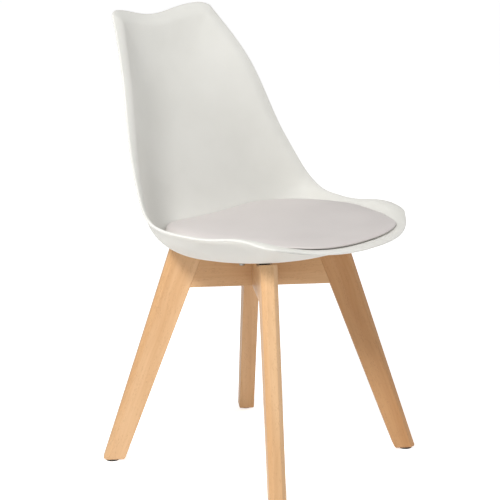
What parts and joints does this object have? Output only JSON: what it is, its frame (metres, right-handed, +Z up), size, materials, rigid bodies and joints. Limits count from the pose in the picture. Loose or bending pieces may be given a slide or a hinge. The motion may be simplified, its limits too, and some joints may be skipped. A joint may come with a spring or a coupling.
{
  "type": "dining chair",
  "caption": "Dining chair with a moulded plastic bucket shell, an upholstered seat pad and splayed beech legs joined by a crossed rail frame.",
  "frame": {"origin": "on the floor under the middle of the chair's overall box", "axes": "+Z up, the sitter faces -Y, +X to the sitter's left"},
  "size_m": [0.4828, 0.5187, 0.83],
  "materials": {
    "shell_plastic": "warm off-white moulded polypropylene, satin with a very fine texture",
    "pad_leather": "light grey synthetic leather, smooth, soft sheen",
    "pad_foam": "soft polyurethane foam, open cells",
    "pad_board": "plain plywood",
    "beech": "pale beech, clear satin lacquer, fine flecks",
    "beech_dowel": "plain beech, uncoated",
    "black_plastic": "black plastic, satin",
    "zinc_steel": "bright zinc plated steel",
    "brass_insert": "turned brass, knurled"
  },
  "bodies": {
    "root": {"leg_rear_left": "beech", "leg_rear_right": "beech", "leg_front_right": "beech", "leg_front_left": "beech", "cross_rail_upper": "beech", "cross_rail_lower": "beech", "leg_dowels": "beech_dowel", "frame_bolts": "zinc_steel", "spring_washers": "zinc_steel", "flat_washers": "zinc_steel", "shell_inserts": "brass_insert", "pad_screws": "zinc_steel", "tee_nuts": "zinc_steel", "glide_nails": "zinc_steel", "mount_spacers": "black_plastic", "glide_rear_left": "black_plastic", "glide_rear_right": "black_plastic", "glide_front_right": "black_plastic", "glide_front_left": "black_plastic", "seat_shell": "shell_plastic", "pad_cover": "pad_leather", "pad_foam": "pad_foam", "pad_board": "pad_board"}
  },
  "joints": []
}
